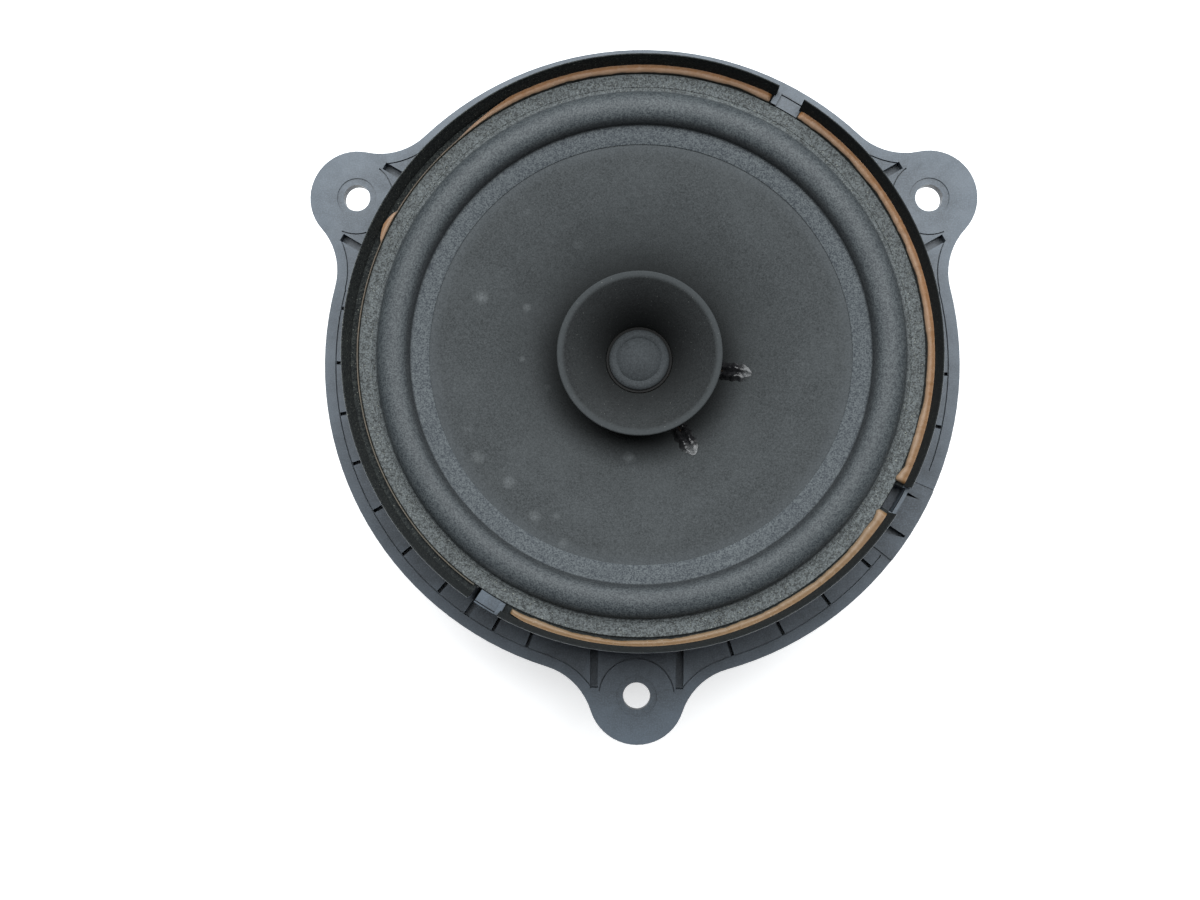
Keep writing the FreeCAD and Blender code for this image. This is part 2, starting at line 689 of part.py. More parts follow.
def motor_screws():
    """Four pan-head screws with cross recesses, driven from behind through the top plate."""
    top = number("motor_level + 4.6")
    under = number("motor_level - plate_thick")
    head_radius, head_height, crown_height = 3.2, 1.3, 0.9
    recess_length, recess_width, recess_depth = 3.4, 0.8, 1.2
    shapes = []
    for index in range(4):
        angle = 45 + 90 * index
        place = vector_at(number("screw_pitch_radius"), angle, under)
        shank = Part.makeCylinder(number("screw_radius"), top - under, place)
        head = Part.makeCylinder(head_radius, head_height, place - FreeCAD.Vector(0, 0, head_height))
        lowest = place - FreeCAD.Vector(0, 0, head_height + crown_height)
        crown = Part.makeCone(head_radius - 0.9, head_radius, crown_height, lowest)
        screw = shank.fuse([head, crown]).removeSplitter()
        for turn in (0, 90):
            cross = Part.makeBox(recess_length, recess_width, recess_depth,
                                 FreeCAD.Vector(-recess_length / 2, -recess_width / 2, 0))
            cross.rotate(FreeCAD.Vector(), FreeCAD.Vector(0, 0, 1), turn + angle)
            cross.translate(lowest)
            screw = screw.cut(cross)
        shapes.append(screw)
    group("motor_screws", shapes)


# ---------------------------------------------------------------- seals, wires and terminals


def rear_gasket():
    """A foam ring in the rebate under the flange, inside the mounting holes."""
    ring("rear_gasket", "-2", "2 + gasket_rebate - 0.02", "collar_base_radius + gasket_band",
         "collar_base_radius + 0.1")


def terminal_housing():
    """A moulded socket behind the spoke under the notch; its mouth faces outward."""
    angle = "terminal_angle"
    body = new_body("terminal_housing")
    pad(body, "socket", "terminal_level - 9.6", "9.58",
        lambda sketch: bar(sketch, "socket_start", "socket_end", "socket_half_width", angle))

    def mouth(sketch):
        bar(sketch, "socket_start + 5", "socket_end + 0.5", "socket_half_width - 1.5", angle)

    pocket(body, "socket_mouth", "terminal_level - 1.8", "6", mouth)

    def blade_slots(sketch):
        for side in (-1, 1):
            bar(sketch, "socket_start - 1", "socket_start + 6", "blade_width / 2 + 0.02", angle,
                f"{side} * blade_offset")

    pocket(body, "blade_slots", "terminal_level - 4.79", "blade_thick + 0.02", blade_slots)
    pad(body, "peg", "terminal_level - 0.5", "2.6",
        lambda sketch: circle(sketch, "peg_radius", polar("peg_pitch_radius", angle)))


def at_terminals(radius, across, height):
    """A point beside the direction in which the terminals face."""
    turn = math.radians(number("terminal_angle"))
    x = radius * math.cos(turn) - across * math.sin(turn)
    y = radius * math.sin(turn) + across * math.cos(turn)
    return FreeCAD.Vector(x, y, height)


def round_wire(points, radius):
    """A solid of round section along a smooth curve through the points."""
    curve = Part.BSplineCurve()
    curve.interpolate(points)
    path = curve.toShape()
    section = Part.Circle(points[0], path.tangentAt(path.FirstParameter), radius).toShape()
    return Part.Wire(path).makePipeShell([Part.Wire(section)], True, True)


def cone_front(radius):
    """Height of the cone's front face at a radius, on the arc of its profile."""
    arc = Part.Arc(as_vector(("neck_radius", "neck_level + 0.9")),
                   as_vector(("neck_radius + 16.6", "neck_level + 13.2")),
                   as_vector(("cone_radius - 1.2", "seat_level")))
    cut = Part.LineSegment(FreeCAD.Vector(radius, -50, 0), FreeCAD.Vector(radius, 80, 0))
    return arc.intersect(cut)[0].Y


def leads_and_blades():
    """Blades, the loose leads from them to the cone, and the coil's own wires on the cone's front."""
    blade_top = number("terminal_level - 4.8")
    blade_floor = blade_top - number("blade_thick")
    offset, width = number("blade_offset"), number("blade_width")
    lead_radius, wire_radius = number("lead_radius"), number("coil_wire_radius")
    middle = number("terminal_angle")
    leads, blades, solder, coil_wires, dabs = [], [], [], [], []
    for side, entry in zip((1, -1), LEAD_ANGLES):
        blade = Part.makeBox(number("blade_length"), width, number("blade_thick"),
                             FreeCAD.Vector(number("blade_start"), side * offset - width / 2, blade_floor))
        blade.rotate(FreeCAD.Vector(), FreeCAD.Vector(0, 0, 1), middle)
        end = at_terminals(number("blade_start + 1.5"), side * offset, blade_top + lead_radius)
        lead = round_wire([
            vector_at(24.5, entry, cone_front(24.5) - 1.6),
            vector_at(31, entry - side * 3, 8.5),
            vector_at(40, middle + side * 15, -1),
            vector_at(45.5, middle + side * 12.5, -8),
            end,
        ], lead_radius)
        blob = Part.makeSphere(1.7, end)
        below = Part.makeBox(8, 8, 8, end - FreeCAD.Vector(4, 4, lead_radius + 8))
        coil_wire = round_wire([vector_at(radius, entry, cone_front(radius) + wire_radius + 0.08)
                                for radius in (11.9, 15, 18, 21.5)], wire_radius)
        blades.append(blade)
        leads.append(lead)
        solder.append(blob.cut([below, lead, blade]))
        coil_wires.append(coil_wire)
        dabs.append(glue_dab(entry).cut(coil_wire))
    group("terminal_blades", blades)
    group("tinsel_leads", leads)
    group("solder_joints", solder)
    group("coil_lead_wires", coil_wires)
    group("lead_glue_dabs", dabs)


def glue_dab(entry):
    """A drop of adhesive on the cone's front over a wire joint, longer along the radius."""
    start, end, half_width, height = 21, 28.4, 1.85, 1.5
    middle = (start + end) / 2
    slope = math.degrees(math.atan2(cone_front(end) - cone_front(start), end - start))
    stretch = FreeCAD.Matrix()
    stretch.scale(FreeCAD.Vector((end - start) / 2 / math.cos(math.radians(slope)), half_width, height))
    drop = Part.makeSphere(1).transformGeometry(stretch)
    drop.rotate(FreeCAD.Vector(), FreeCAD.Vector(0, 1, 0), -slope)
    drop.translate(FreeCAD.Vector(middle, 0, cone_front(middle)))
    paper = [FreeCAD.Vector(radius, 0, cone_front(radius) + 0.02) for radius in (16, 20, 24, 28, 33)]
    curve = Part.BSplineCurve()
    curve.interpolate(paper)
    corners = [paper[-1], FreeCAD.Vector(33, 0, 0), FreeCAD.Vector(16, 0, 0), paper[0]]
    face = Part.Face(Part.Wire([curve.toShape(), *Part.makePolygon(corners).Edges]))
    below = face.revolve(FreeCAD.Vector(), FreeCAD.Vector(0, 0, 1), 40)
    below.rotate(FreeCAD.Vector(), FreeCAD.Vector(0, 0, 1), -20)
    drop = drop.cut(below)
    drop.rotate(FreeCAD.Vector(), FreeCAD.Vector(0, 0, 1), entry)
    return drop


# ---------------------------------------------------------------- build


basket = new_body("basket")
flange_with_ears(basket)
ear_details(basket)
basket_shell(basket)
rear_frame_details(basket)
motor_seat_details(basket)
terminal_seat(basket)
collar_gaps(basket)
clip_region(basket)
rim_details(basket)
rear_gasket()
surround_profile()
glue_bead()
cone()
whizzer_cone()
dust_cap()
neck_glue()
voice_coil()
spider()
spider_glue()
motor()
motor_screws()
terminal_housing()
leads_and_blades()
document.recompute()

for thing in document.Objects:
    if "Invalid" in thing.State or "Error" in thing.State:
        raise RuntimeError(f"{thing.Label} failed: {thing.State}")
os.makedirs("parts", exist_ok=True)
for node in nodes:
    if node.Shape.isNull() or not node.Shape.isValid():
        raise RuntimeError(f"{node.Label} has no valid shape")
    node.Shape.exportStep(f"parts/{node.Label}.step")
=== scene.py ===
import math

import bmesh
import bpy
import numpy as np
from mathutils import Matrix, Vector, noise


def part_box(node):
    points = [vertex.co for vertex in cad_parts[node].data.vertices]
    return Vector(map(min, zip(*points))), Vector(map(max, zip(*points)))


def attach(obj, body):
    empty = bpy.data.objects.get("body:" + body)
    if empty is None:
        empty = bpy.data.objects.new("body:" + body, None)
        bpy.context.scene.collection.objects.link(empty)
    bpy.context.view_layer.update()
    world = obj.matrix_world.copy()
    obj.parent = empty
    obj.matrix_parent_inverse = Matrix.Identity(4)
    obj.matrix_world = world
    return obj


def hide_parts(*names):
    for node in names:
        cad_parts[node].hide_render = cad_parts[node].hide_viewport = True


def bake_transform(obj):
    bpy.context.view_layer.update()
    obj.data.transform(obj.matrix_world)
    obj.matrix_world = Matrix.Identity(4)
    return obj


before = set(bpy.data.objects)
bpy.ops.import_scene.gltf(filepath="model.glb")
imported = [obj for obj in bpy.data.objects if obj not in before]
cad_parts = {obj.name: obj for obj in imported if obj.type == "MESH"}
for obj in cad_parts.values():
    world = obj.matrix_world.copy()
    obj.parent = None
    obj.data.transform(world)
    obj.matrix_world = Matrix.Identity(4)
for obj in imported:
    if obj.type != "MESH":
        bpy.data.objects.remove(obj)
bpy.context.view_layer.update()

# Looks for a car door speaker. Lengths are in metres; MM turns millimetres into metres.
MM = 0.001
FRAME_BODY = "frame_body"
CONE_BODY = "cone_body"

# Places taken from the frame.
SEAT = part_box("surround")[0].z
SURROUND_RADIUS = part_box("surround")[1].x
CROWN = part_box("surround")[1].z
CONE_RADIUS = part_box("cone")[1].x
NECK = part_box("cone")[0].z
NECK_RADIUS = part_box("coil_former")[1].x + 0.15 * MM
WHIZZER_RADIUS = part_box("whizzer_cone")[1].x
WHIZZER_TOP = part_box("whizzer_cone")[1].z
CAP_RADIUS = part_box("dust_cap")[1].x
CAP_LOW, CAP_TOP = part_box("dust_cap")[0].z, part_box("dust_cap")[1].z
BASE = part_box("back_plate")[0].z
FORMER_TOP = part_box("coil_former")[1].z

# Sizes that no node's box gives.
CLOTH = 0.7 * MM            # thickness of the surround's flat bands
ROLL_MIDDLE = 61.1 * MM     # radius of the roll's crown
ROLL_HALF = 4.1 * MM        # half the roll's width
CONE_EDGE = 52.2 * MM       # inner radius of the surround's inner band
WALL_RADIUS = 71.88 * MM    # inside of the collar, where the adhesive stops
LIP_RADIUS = 72.75 * MM     # inside of the collar at its open end


# ---------------------------------------------------------------- mesh helpers


def add_mesh(name, vertices, faces, material, crease=35):
    """A new object with outward normals, smooth except at edges sharper than the crease angle."""
    mesh = bpy.data.meshes.new(name)
    mesh.from_pydata([tuple(v) for v in vertices], [], faces)
    work = bmesh.new()
    work.from_mesh(mesh)
    bmesh.ops.remove_doubles(work, verts=work.verts, dist=1e-7)
    bmesh.ops.recalc_face_normals(work, faces=work.faces)
    work.to_mesh(mesh)
    work.free()
    mesh.shade_smooth()
    mesh.set_sharp_from_angle(angle=math.radians(crease))
    mesh.materials.append(material)
    made = bpy.data.objects.new(name, mesh)
    bpy.context.scene.collection.objects.link(made)
    return made


def lathe(name, profile, material, segments=360, crease=35):
    """Turn a closed profile of (radius, height) points about the Z axis."""
    count = len(profile)
    vertices, faces = [], []
    for turn in range(segments):
        angle = 2 * math.pi * turn / segments
        cosine, sine = math.cos(angle), math.sin(angle)
        vertices.extend((radius * cosine, radius * sine, height) for radius, height in profile)
    for turn in range(segments):
        here, there = turn * count, (turn + 1) % segments * count
        for index in range(count):
            following = (index + 1) % count
            faces.append((here + index, there + index, there + following, here + following))
    made = add_mesh(name, vertices, faces, material, crease)
    tidy_poles(made)
    return made


def tidy_poles(made):
    """Remove the slivers that a profile leaves where it touches the axis."""
    work = bmesh.new()
    work.from_mesh(made.data)
    bmesh.ops.dissolve_degenerate(work, dist=1e-7, edges=work.edges)
    work.to_mesh(made.data)
    work.free()


def bow(centre, half_width, half_height, start, end, count):
    """Points along part of an ellipse in the (radius, height) plane; angles in degrees."""
    angles = np.radians(np.linspace(start, end, count))
    return [(centre[0] + half_width * math.cos(a), centre[1] + half_height * math.sin(a)) for a in angles]


def arc_through(first, middle, last, count):
    """Points on the circular arc from first to last by way of middle."""
    (ax, ay), (bx, by), (cx, cy) = first, middle, last
    twice = 2 * (ax * (by - cy) + bx * (cy - ay) + cx * (ay - by))
    a, b, c = ax * ax + ay * ay, bx * bx + by * by, cx * cx + cy * cy
    centre_x = (a * (by - cy) + b * (cy - ay) + c * (ay - by)) / twice
    centre_y = (a * (cx - bx) + b * (ax - cx) + c * (bx - ax)) / twice
    radius = math.hypot(ax - centre_x, ay - centre_y)
    start = math.atan2(ay - centre_y, ax - centre_x)
    end = math.atan2(cy - centre_y, cx - centre_x)
    return [(centre_x + radius * math.cos(t), centre_y + radius * math.sin(t))
            for t in np.linspace(start, end, count)]


def hang_between(piece):
    """Bake the piece's placement into its mesh; it is not made to follow the cone or the frame.
    """
    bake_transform(piece)


def copy_node(node, name, material, crease=40):
    """A free copy of a CAD node's mesh, in place of the hidden node."""
    made = bpy.data.objects.new(name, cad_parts[node].data.copy())
    bpy.context.scene.collection.objects.link(made)
    made.data.materials.clear()
    made.data.materials.append(material)
    work = bmesh.new()
    work.from_mesh(made.data)
    bmesh.ops.remove_doubles(work, verts=work.verts, dist=1e-7)
    work.to_mesh(made.data)
    work.free()
    made.data.shade_smooth()
    made.data.set_sharp_from_angle(angle=math.radians(crease))
    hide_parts(node)
    return made


# ---------------------------------------------------------------- material helpers


class Finish:
    """A node material; every method returns an output socket that later nodes can use."""

    def __init__(self, name):
        self.material = bpy.data.materials.new(name)
        self.material.use_nodes = True
        self.tree = self.material.node_tree
        self.surface = self.tree.nodes["Principled BSDF"]
        self.place = self.node("ShaderNodeTexCoord", "Object")

    def node(self, kind, output, inputs=None, **settings):
        """Make a node, set its properties and its inputs (values or sockets), and give one output."""
        made = self.tree.nodes.new(kind)
        for key, value in settings.items():
            setattr(made, key, value)
        for key, value in (inputs or {}).items():
            if isinstance(value, bpy.types.NodeSocket):
                self.tree.links.new(value, made.inputs[key])
            else:
                made.inputs[key].default_value = value
        return made.outputs[output]

    def noise(self, size, detail=3, roughness=0.55, place=None, distortion=0):
        """Noise whose features are about size metres across."""
        return self.node("ShaderNodeTexNoise", "Fac", {
            "Vector": place or self.place, "Scale": 1 / size, "Detail": detail,
            "Roughness": roughness, "Distortion": distortion})

    def cells(self, size):
        """Distance to the nearest of points scattered about size metres apart."""
        return self.node("ShaderNodeTexVoronoi", "Distance", {"Vector": self.place, "Scale": 1 / size})

    def map(self, value, low, high, to_low=0.0, to_high=1.0):
        """Stretch low to high onto to_low to to_high, held at both ends."""
        return self.node("ShaderNodeMapRange", "Result", {
            "Value": value, "From Min": low, "From Max": high, "To Min": to_low, "To Max": to_high})

    def math(self, operation, first, second=0.0):
        return self.node("ShaderNodeMath", "Value", {0: first, 1: second}, operation=operation)

    def mix(self, share, first, second):
        """Blend two colours; inputs 0, 6 and 7 of the node are the share and the two colours."""
        made = self.tree.nodes.new("ShaderNodeMix")
        made.data_type = "RGBA"
        for index, value in ((0, share), (6, first), (7, second)):
            if isinstance(value, bpy.types.NodeSocket):
                self.tree.links.new(value, made.inputs[index])
            elif index == 0:
                made.inputs[index].default_value = value
            else:
                made.inputs[index].default_value = (*value, 1)
        return made.outputs[2]

    def separate(self, vector):
        made = self.tree.nodes.new("ShaderNodeSeparateXYZ")
        self.tree.links.new(vector, made.inputs[0])
        return made.outputs

    def facing_up(self):
        """1 where the surface faces the front of the speaker, 0 where it stands upright."""
        normal = self.node("ShaderNodeNewGeometry", "Normal")
        return self.separate(normal)["Z"]

    def edge(self):
        """Above a half on outward edges of the mesh, below it in hollows."""
        return self.node("ShaderNodeNewGeometry", "Pointiness")

    def around(self):
        """Distance from the speaker's axis, and height along it."""
        axes = self.separate(self.place)
        radius = self.math("SQRT", self.math("ADD", self.math("MULTIPLY", axes["X"], axes["X"]),
                                             self.math("MULTIPLY", axes["Y"], axes["Y"])))
        return radius, axes["Z"]

    def dust_spots(self):
        """Scattered soft round spots, and how strong they may be at a place."""
        bent = self.node("ShaderNodeVectorMath", "Vector", {
            0: self.place, 1: self.node("ShaderNodeVectorMath", "Vector", {
                0: self.node("ShaderNodeTexNoise", "Color", {"Vector": self.place, "Scale": 400}),
                1: (0.0012, 0.0012, 0.0)}, operation="MULTIPLY")}, operation="ADD")
        cells = self.tree.nodes.new("ShaderNodeTexVoronoi")
        self.tree.links.new(bent, cells.inputs["Vector"])
        cells.inputs["Scale"].default_value = 1 / (7.5 * MM)
        chance = self.separate(cells.outputs["Color"])
        reach = self.map(chance["X"], 0.0, 1.0, 0.1, 0.32)
        spot = self.map(self.math("DIVIDE", cells.outputs["Distance"], reach), 1.0, 0.1)
        axes = self.separate(self.place)
        across = self.math("ADD", axes["X"], self.math("MULTIPLY", axes["Y"], 0.6))
        side = self.map(across, 12 * MM, -26 * MM)
        likely = self.math("MULTIPLY", chance["Y"], self.map(side, 0, 1, 0.55, 1.0))
        kept = self.map(likely, 0.5, 0.62)
        return self.math("MULTIPLY", spot, kept), self.map(side, 0, 1, 0.08, 0.2)

    def finish(self, colour, roughness, height=None, depth=0.0, **others):
        """Connect colour, roughness, relief (its depth in metres) and any other inputs by name."""
        inputs = {"Base Color": colour, "Roughness": roughness}
        inputs.update({key.replace("_", " "): value for key, value in others.items()})
        for key, value in inputs.items():
            if isinstance(value, bpy.types.NodeSocket):
                self.tree.links.new(value, self.surface.inputs[key])
            elif isinstance(value, tuple):
                self.surface.inputs[key].default_value = (*value, 1)
            else:
                self.surface.inputs[key].default_value = value
        if height is not None:
            relief = self.node("ShaderNodeBump", "Normal", {
                "Height": height, "Strength": 1, "Distance": depth})
            self.tree.links.new(relief, self.surface.inputs["Normal"])
        return self.material


# ---------------------------------------------------------------- materials


def moulded_plastic(name, dark, light, shine=0.46):
    """Glass-filled black plastic: bright flecks, cloudy tone, paler along sharp outward edges.

    Returns the finish, its colour, its roughness and its relief, for more work.
    """
    f = Finish(name)
    grain = f.noise(0.4 * MM, 2, 0.6)
    cloud = f.noise(9 * MM, 4, 0.6)
    streak = f.noise(2.2 * MM, 5, 0.7, distortion=0.8)
    pale = tuple(c * 2.0 for c in light)
    tone = f.math("ADD", f.math("MULTIPLY", cloud, 0.6), f.math("MULTIPLY", streak, 0.4))
    body = f.mix(f.map(tone, 0.36, 0.66), dark, light)
    body = f.mix(f.map(grain, 0.44, 0.7, 0, 0.42), body, pale)
    body = f.mix(f.map(f.edge(), 0.52, 0.62, 0, 0.3), body, pale)
    rough = f.map(tone, 0.3, 0.7, shine + 0.07, shine - 0.05)
    relief = f.math("ADD", f.math("MULTIPLY", grain, 0.8), f.math("MULTIPLY", streak, 0.5))
    return f, body, rough, relief


def basket_plastic():
    """The frame's plastic, nearly black and dull inside the collar, dusty towards the left."""
    f, body, rough, relief = moulded_plastic("moulded_plastic", (0.026, 0.034, 0.043),
                                             (0.05, 0.065, 0.082))
    radius, height = f.around()
    up = f.facing_up()
    inside = f.math("MULTIPLY", f.map(radius, LIP_RADIUS + 0.3 * MM, LIP_RADIUS + 0.2 * MM),
                    f.map(radius, 69 * MM, 69.2 * MM))
    above = f.map(height, SEAT - 0.6 * MM, SEAT - 0.4 * MM)
    low = f.map(height, SEAT + 4 * MM, SEAT + 3.5 * MM)
    shelf = f.math("MULTIPLY", f.math("MULTIPLY", f.map(up, 0.5, 0.7), low),
                   f.map(height, SEAT + 0.3 * MM, SEAT + 0.4 * MM))
    # Inside the collar, above the seat and off its shelf, the colour turns nearly black and the surface
    # dull.
    inside_collar_dark = f.math("MULTIPLY", f.math("MULTIPLY", inside, above), f.math("SUBTRACT", 1.0, shelf))
    axes = f.separate(f.place)
    left = f.map(f.math("ADD", axes["X"], f.math("MULTIPLY", axes["Y"], -0.6)), 0.0, -75 * MM)
    lint = f.map(f.noise(0.5 * MM, 4, 0.7), 0.42, 0.66)
    fleck = f.map(f.noise(0.4 * MM, 1), 0.68, 0.76)
    lint_share = f.math("MULTIPLY", lint, f.map(left, 0, 1, 0.2, 0.6))
    fleck_share = f.math("MULTIPLY", fleck, f.map(left, 0, 1, 0.15, 0.55))
    inside_collar_dark_tone = f.mix(lint_share, (0.012, 0.014, 0.015), (0.078, 0.086, 0.08))
    inside_collar_dark_tone = f.mix(fleck_share, inside_collar_dark_tone, (0.34, 0.35, 0.3))
    colour = f.mix(inside_collar_dark, body, inside_collar_dark_tone)
    shine = f.map(inside_collar_dark, 0, 1, 0.5, 0.12)
    return f.finish(colour, f.math("MAXIMUM", rough, f.math("MULTIPLY", inside_collar_dark, 0.92)), relief, 0.03 * MM,
                    Specular_IOR_Level=shine)


def speckled_cloth():
    """Coated cloth: grainy outer band with painted glints, smoother roll with painted shade in the groove
    at its inner foot, finely flecked bluish inner band.
    """
    f = Finish("surround_cloth")
    radius, _ = f.around()
    fine = f.noise(0.36 * MM, 2, 0.6)
    coarse = f.noise(0.85 * MM, 3, 0.65)
    patch = f.noise(7 * MM, 3)
    outer = f.map(radius, 65 * MM, 66 * MM)
    inner = f.map(radius, 57.6 * MM, 57 * MM)
    speck = f.map(f.math("ADD", f.math("MULTIPLY", fine, 0.65), f.math("MULTIPLY", coarse, 0.35)), 0.4, 0.6)
    base = f.mix(inner, (0.018, 0.0235, 0.028), (0.028, 0.034, 0.041))
    base = f.mix(outer, base, (0.024, 0.027, 0.027))
    amount = f.math("ADD", f.map(outer, 0, 1, 0.38, 0.72), f.math("MULTIPLY", inner, 0.17))
    share = f.math("MULTIPLY", f.math("MULTIPLY", speck, amount), f.map(patch, 0.3, 0.7, 0.85, 1.1))
    colour = f.mix(share, base, (0.15, 0.168, 0.172))
    # Painted glints: bright specks on the outer band stand in for reflections.
    painted_glint = f.math("MULTIPLY", f.map(f.noise(0.3 * MM, 1), 0.7, 0.76), outer)
    colour = f.mix(f.math("MULTIPLY", painted_glint, 0.6), colour, (0.42, 0.44, 0.36))
    # Painted shade: the groove where the roll meets the inner band is darkened in the colour.
    groove = f.math("MULTIPLY", f.map(radius, 58.6 * MM, 57.4 * MM), f.map(radius, 56.6 * MM, 57.0 * MM))
    colour = f.mix(f.math("MULTIPLY", groove, 0.55), colour, (0.012, 0.013, 0.014))
    relief = f.math("ADD", fine, f.math("MULTIPLY", coarse, 0.7))
    band = f.math("MAXIMUM", outer, inner)
    return f.finish(colour, f.map(band, 0, 1, 0.6, 0.78), relief, 0.07 * MM,
                    Specular_IOR_Level=f.map(band, 0, 1, 0.42, 0.35))


def paper_finish(name, dark, light):
    """Black pulp paper with fine fibres; returns the finish, its colour and its grain for more work."""
    f = Finish(name)
    pulp = f.noise(0.42 * MM, 3, 0.7)
    fibre = f.noise(0.95 * MM, 5, 0.75, distortion=1.6)
    cloud = f.noise(14 * MM, 3)
    tone = f.math("ADD", f.math("MULTIPLY", pulp, 0.55), f.math("MULTIPLY", fibre, 0.45))
    colour = f.mix(f.map(tone, 0.38, 0.62), dark, light)
    colour = f.mix(f.map(cloud, 0.4, 0.7, 0, 0.25), colour, tuple(c * 1.25 for c in light))
    return f, colour, tone


def cone_paper():
    """The cone: paler beside the surround, with painted shade darkening it near the whizzer, and faint dust
    on its left.
    """
    f, colour, tone = paper_finish("cone_paper", (0.023, 0.026, 0.027), (0.058, 0.064, 0.067))
    radius, _ = f.around()
    colour = f.mix(f.map(radius, 49 * MM, 51.5 * MM, 0, 0.2), colour, (0.09, 0.101, 0.11))
    # Painted shade: the paper darkens towards the whizzer, which shades it.
    colour = f.mix(f.map(radius, 40 * MM, 28 * MM, 0, 0.3), colour, (0.016, 0.018, 0.018))
    colour = f.mix(f.map(radius, 29 * MM, 21 * MM, 0, 0.7), colour, (0.008, 0.009, 0.009))
    spots, strength = f.dust_spots()
    front = f.map(f.facing_up(), 0.0, 0.2)
    dust = f.math("MULTIPLY", f.math("MULTIPLY", spots, strength), front)
    colour = f.mix(f.math("MULTIPLY", dust, f.map(tone, 0.35, 0.6, 0.4, 1.0)), colour, (0.3, 0.32, 0.33))
    return f.finish(colour, f.map(tone, 0.3, 0.7, 0.95, 0.8), tone, 0.05 * MM, Specular_IOR_Level=0.25)


def whizzer_paper():
    """The whizzer: dark paper with a painted highlight on its rolled rim and painted shade deepening
    towards its throat.
    """
    f, colour, tone = paper_finish("whizzer_paper", (0.013, 0.0145, 0.015), (0.033, 0.036, 0.037))
    radius, height = f.around()
    # Painted highlight: the rolled rim's upward lip is paler in the colour.
    high = f.map(height, WHIZZER_TOP - 0.9 * MM, WHIZZER_TOP - 0.4 * MM)
    rim = f.math("MULTIPLY", f.map(radius, 18.5 * MM, 19.4 * MM), high)
    colour = f.mix(f.math("MULTIPLY", rim, 0.6), colour, (0.05, 0.056, 0.059))
    # Painted shade: darker towards the throat.
    colour = f.mix(f.map(radius, 16 * MM, 10 * MM, 0, 0.45), colour, (0.007, 0.0075, 0.0075))
    fleck = f.math("MULTIPLY", f.map(f.noise(0.45 * MM, 1), 0.74, 0.79), 0.35)
    colour = f.mix(fleck, colour, (0.3, 0.31, 0.29))
    return f.finish(colour, f.map(tone, 0.3, 0.7, 0.95, 0.8), tone, 0.04 * MM, Specular_IOR_Level=0.2)


def cap_paper():
    """The dust cap, nearly black on the brim that hides the coil's former."""
    f, colour, tone = paper_finish("cap_paper", (0.02, 0.023, 0.025), (0.042, 0.048, 0.052))
    radius, _ = f.around()
    brim = f.map(radius, CAP_RADIUS - 0.3 * MM, CAP_RADIUS)
    colour = f.mix(brim, colour, (0.007, 0.007, 0.007))
    return f.finish(colour, f.map(tone, 0.3, 0.7, 0.9, 0.75), tone, 0.04 * MM, Specular_IOR_Level=0.3)


def adhesive(name, dark, light, rough, coat=0.25):
    """Dried contact adhesive: lumpy, half glossy."""
    f = Finish(name)
    lump = f.noise(1.1 * MM, 4, 0.6)
    cloud = f.noise(5 * MM, 3)
    colour = f.mix(f.map(cloud, 0.35, 0.65), dark, light)
    colour = f.mix(f.map(lump, 0.55, 0.75, 0, 0.4), colour, tuple(c * 1.4 for c in light))
    return f.finish(colour, f.map(lump, 0.3, 0.7, rough, rough + 0.18), lump, 0.1 * MM, Coat_Weight=coat)


def edge_adhesive():
    """The bead round the surround: pinkish tan on the cloth, turning to brown against the collar, partly
    its own colour and partly painted light and shade; painted shade towards the bottom and painted glints.
    """
    f = Finish("tan_adhesive")
    radius, _ = f.around()
    lump = f.noise(0.9 * MM, 4, 0.65)
    cloud = f.noise(4 * MM, 3)
    across = f.math("ADD", radius, f.map(cloud, 0.3, 0.7, -0.3 * MM, 0.3 * MM))
    # Across the bead: partly its own colour, partly painted light on its round top and painted shade on its
    # side against the collar.
    colour = f.mix(f.map(across, 70.5 * MM, 71.3 * MM), (0.32, 0.2, 0.125), (0.26, 0.115, 0.035))
    colour = f.mix(f.map(lump, 0.45, 0.75, 0, 0.5), colour, (0.38, 0.25, 0.16))
    axes = f.separate(f.place)
    # Painted shade: darker and more olive towards the bottom of the speaker.
    shade = f.map(axes["Y"], 20 * MM, -50 * MM, 0, 0.6)
    colour = f.mix(shade, colour, (0.085, 0.066, 0.032))
    thin = f.map(axes["Z"], SEAT + CLOTH + 0.5 * MM, SEAT + CLOTH + 0.2 * MM, 0, 0.93)
    colour = f.mix(thin, colour, (0.042, 0.041, 0.031))
    # Painted glints: bright specks stand in for reflections on the adhesive.
    painted_glint = f.map(f.noise(0.3 * MM, 1), 0.73, 0.78)
    colour = f.mix(f.math("MULTIPLY", painted_glint, 0.5), colour, (0.7, 0.68, 0.6))
    return f.finish(colour, f.map(lump, 0.3, 0.7, 0.5, 0.68), lump, 0.1 * MM, Coat_Weight=0.06)


def strip_adhesive():
    """Glossy black cement over the wire joints, drying to a clear grey coat at its tip, with painted
    highlights streaked over that coat.
    """
    f = Finish("strip_adhesive")
    radius, _ = f.around()
    lump = f.noise(0.8 * MM, 4, 0.6)
    streak = f.map(f.noise(0.5 * MM, 3, 0.6, distortion=1), 0.48, 0.62)
    # The streaky grey at the tip: partly the clear coat's own tone, partly painted highlights.
    tip = f.map(radius, 25.2 * MM, 27.2 * MM)
    colour = f.mix(f.map(lump, 0.4, 0.7), (0.005, 0.005, 0.006), (0.012, 0.012, 0.013))
    colour = f.mix(f.math("MULTIPLY", tip, f.map(streak, 0, 1, 0.25, 0.9)), colour, (0.05, 0.056, 0.058))
    return f.finish(colour, f.map(lump, 0.3, 0.7, 0.26, 0.42), lump, 0.08 * MM, Coat_Weight=0.12)


